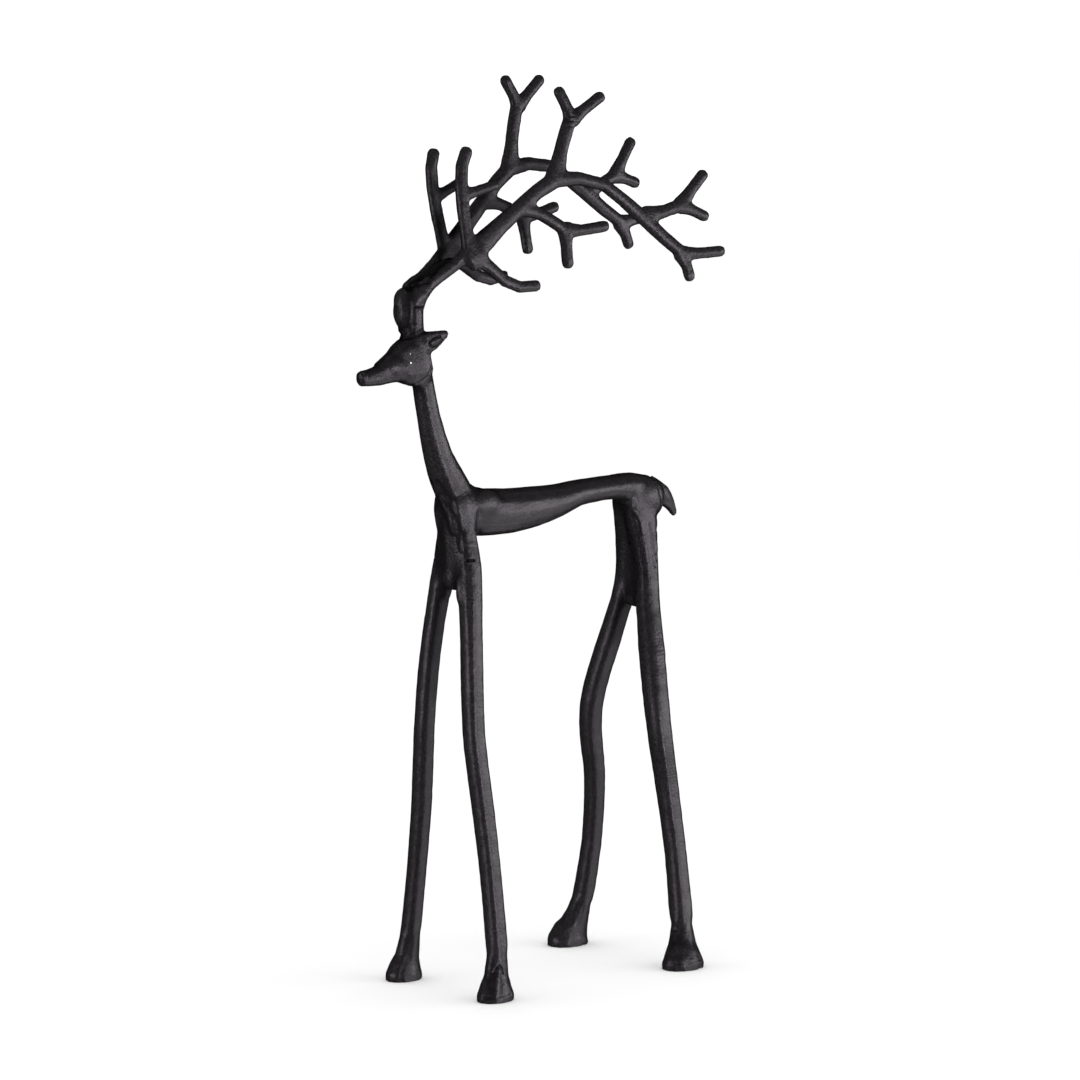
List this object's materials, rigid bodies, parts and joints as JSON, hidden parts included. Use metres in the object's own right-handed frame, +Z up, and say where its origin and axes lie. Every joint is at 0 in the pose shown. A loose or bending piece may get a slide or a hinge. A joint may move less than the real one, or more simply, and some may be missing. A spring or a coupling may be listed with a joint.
{
  "type": "stag ornament",
  "caption": "Tall cast-metal stag ornament on long thin legs with flared hooves, slim body, raised head and wide branching antlers, all in a satin black coat.",
  "frame": {"origin": "middle of the bounding box's underside, on the ground between the four hooves", "axes": "+Z up, -X the way the stag looks, -Y its left side"},
  "size_m": [0.2336, 0.1108, 0.4951],
  "materials": {
    "black_coat": "satin"
  },
  "bodies": {
    "root": {"stag": "black_coat"}
  },
  "joints": []
}
